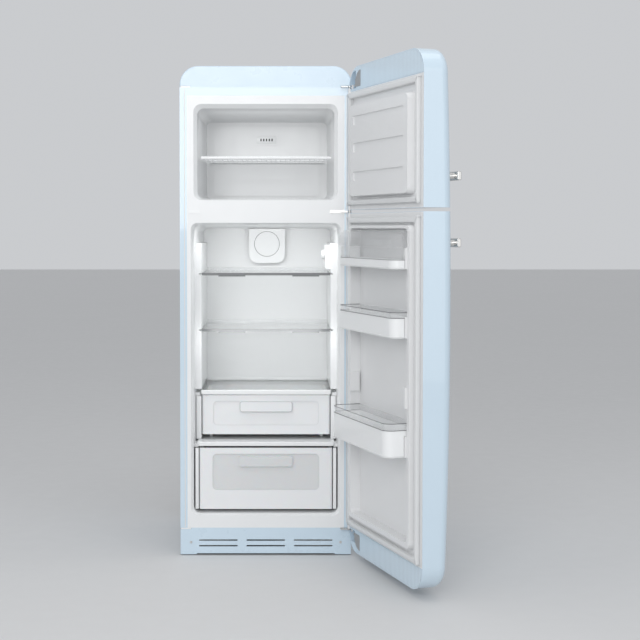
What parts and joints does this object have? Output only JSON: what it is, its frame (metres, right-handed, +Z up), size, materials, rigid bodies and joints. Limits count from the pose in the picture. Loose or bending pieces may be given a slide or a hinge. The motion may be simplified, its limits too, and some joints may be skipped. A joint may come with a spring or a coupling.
{
  "type": "top freezer refrigerator",
  "caption": "Upright refrigerator with a freezer above, rounded crowned doors hung on the right and standing open, glass shelves, drawers and door bins.",
  "frame": {"origin": "on the floor, at the centre of the cabinet's footprint, without the doors", "axes": "+X to the right as seen from the front, +Y to the back, +Z up"},
  "size_m": [0.9121, 1.1302, 1.715],
  "materials": {
    "pale_blue_paint": "glossy enamel on sheet steel",
    "pale_blue_plastic": "glossy, painted to match the sheet steel",
    "white_liner": "satin moulded white",
    "white_plastic": "fine satin",
    "clear_plastic": "clear moulded plastic",
    "shelf_glass": "clear float glass",
    "grey_trim": "satin",
    "gasket_grey": "soft, matt",
    "insulation": "rigid foam",
    "satin_metal": "satin",
    "zinc_steel": "zinc plated",
    "galvanised_sheet": "galvanised",
    "black_enamel": "satin black",
    "black_plastic": "satin",
    "black_rubber": "matt",
    "copper": "drawn copper",
    "aluminium_fins": "mill finish",
    "white_wire": "white coated wire",
    "frosted_plastic": "translucent white"
  },
  "bodies": {
    "cabinet": {"back_panel": "galvanised_sheet", "base_frame": "galvanised_sheet", "blank_covers": "pale_blue_plastic", "bottom_hinge": "zinc_steel", "cabinet_foam": "insulation", "cabinet_screws": "zinc_steel", "cabinet_shell": "pale_blue_paint", "compressor": "black_enamel", "compressor_grommets": "black_rubber", "condenser": "black_enamel", "control_box": "white_plastic", "drip_tray": "black_plastic", "evaporator": "aluminium_fins", "fan_cover": "white_plastic", "fan_motor": "black_plastic", "filter_drier": "copper", "freezer_back_panel": "white_liner", "inner_liner": "white_liner", "kick_plate": "pale_blue_plastic", "lamp_lens": "clear_plastic", "lower_cover": "white_plastic", "middle_hinge": "zinc_steel", "relay_cover": "black_plastic", "shelf_supports": "white_plastic", "top_cap": "pale_blue_plastic", "top_hinge": "zinc_steel", "upper_cover_glass": "shelf_glass", "upper_cover_trim": "white_plastic"},
    "front_left_foot": {"front_left_foot": "black_plastic"},
    "front_right_foot": {"front_right_foot": "black_plastic"},
    "left_roller": {"left_roller": "black_plastic"},
    "right_roller": {"right_roller": "black_plastic"},
    "fan_impeller": {"fan_impeller": "black_plastic"},
    "thermostat_knob": {"thermostat_knob": "grey_trim"},
    "freezer_shelf": {"freezer_shelf": "white_wire"},
    "upper_shelf": {"upper_shelf_glass": "shelf_glass", "upper_shelf_trim": "grey_trim"},
    "middle_shelf": {"middle_shelf_glass": "shelf_glass", "middle_shelf_trim": "grey_trim"},
    "upper_drawer": {"upper_drawer": "white_plastic"},
    "lower_drawer": {"lower_drawer": "white_plastic", "lower_drawer_window": "clear_plastic"},
    "freezer_door": {"freezer_door_skin": "pale_blue_paint", "freezer_door_foam": "insulation", "freezer_door_liner": "white_liner", "freezer_door_gasket": "gasket_grey", "freezer_door_handle": "satin_metal"},
    "fridge_door": {"fridge_door_skin": "pale_blue_paint", "fridge_door_foam": "insulation", "fridge_door_liner": "white_liner", "fridge_door_gasket": "gasket_grey", "fridge_door_handle": "satin_metal", "dairy_bin": "white_plastic", "dairy_rim": "clear_plastic"},
    "dairy_lid": {"dairy_lid": "clear_plastic"},
    "middle_bin": {"middle_bin": "white_plastic", "middle_bin_rim": "clear_plastic"},
    "bottle_bin": {"bottle_bin": "white_plastic", "bottle_bin_rim": "clear_plastic"}
  },
  "joints": [
    {"name": "freezer_door_hinge", "type": "hinge", "parent": "cabinet", "child": "freezer_door", "pos_m": [0.2925, -0.292, 1.4], "axis": [0, 0, 1], "range_deg": [-109, 8]},
    {"name": "fridge_door_hinge", "type": "hinge", "parent": "cabinet", "child": "fridge_door", "pos_m": [0.2925, -0.292, 0.6], "axis": [0, 0, 1], "range_deg": [-109, 8]},
    {"name": "dairy_lid_hinge", "type": "hinge", "parent": "fridge_door", "child": "dairy_lid", "pos_m": [0.35936, -0.57833, 1.142], "axis": [-0.3256, 0.9455, 0], "range_deg": [0, 75]},
    {"name": "middle_bin_lift", "type": "slide", "parent": "fridge_door", "child": "middle_bin", "axis": [0, 0, 1], "range_m": [0, 0.07]},
    {"name": "bottle_bin_lift", "type": "slide", "parent": "fridge_door", "child": "bottle_bin", "axis": [0, 0, 1], "range_m": [0, 0.04]},
    {"name": "freezer_shelf_slide", "type": "slide", "parent": "cabinet", "child": "freezer_shelf", "axis": [0, -1, 0], "range_m": [0, 0.25]},
    {"name": "upper_shelf_slide", "type": "slide", "parent": "cabinet", "child": "upper_shelf", "axis": [0, -1, 0], "range_m": [0, 0.3]},
    {"name": "middle_shelf_slide", "type": "slide", "parent": "cabinet", "child": "middle_shelf", "axis": [0, -1, 0], "range_m": [0, 0.3]},
    {"name": "upper_drawer_slide", "type": "slide", "parent": "cabinet", "child": "upper_drawer", "axis": [0, -1, 0], "range_m": [0, 0.28]},
    {"name": "lower_drawer_slide", "type": "slide", "parent": "cabinet", "child": "lower_drawer", "axis": [0, -1, 0], "range_m": [0, 0.22]},
    {"name": "thermostat_turn", "type": "hinge", "parent": "cabinet", "child": "thermostat_knob", "pos_m": [0.205, -0.125, 1.055], "axis": [-1, 0, 0], "range_deg": [-135, 135]},
    {"name": "fan_spin", "type": "hinge", "parent": "cabinet", "child": "fan_impeller", "pos_m": [0, 0.15, 1.09], "axis": [0, 1, 0], "continuous": true},
    {"name": "left_roller_spin", "type": "hinge", "parent": "cabinet", "child": "left_roller", "pos_m": [-0.262, 0.235, 0.02], "axis": [1, 0, 0], "continuous": true},
    {"name": "right_roller_spin", "type": "hinge", "parent": "cabinet", "child": "right_roller", "pos_m": [0.262, 0.235, 0.02], "axis": [1, 0, 0], "continuous": true},
    {"name": "left_foot_screw", "type": "slide", "parent": "cabinet", "child": "front_left_foot", "axis": [0, 0, 1], "range_m": [-0.015, 0]},
    {"name": "right_foot_screw", "type": "slide", "parent": "cabinet", "child": "front_right_foot", "axis": [0, 0, 1], "range_m": [-0.015, 0]}
  ]
}
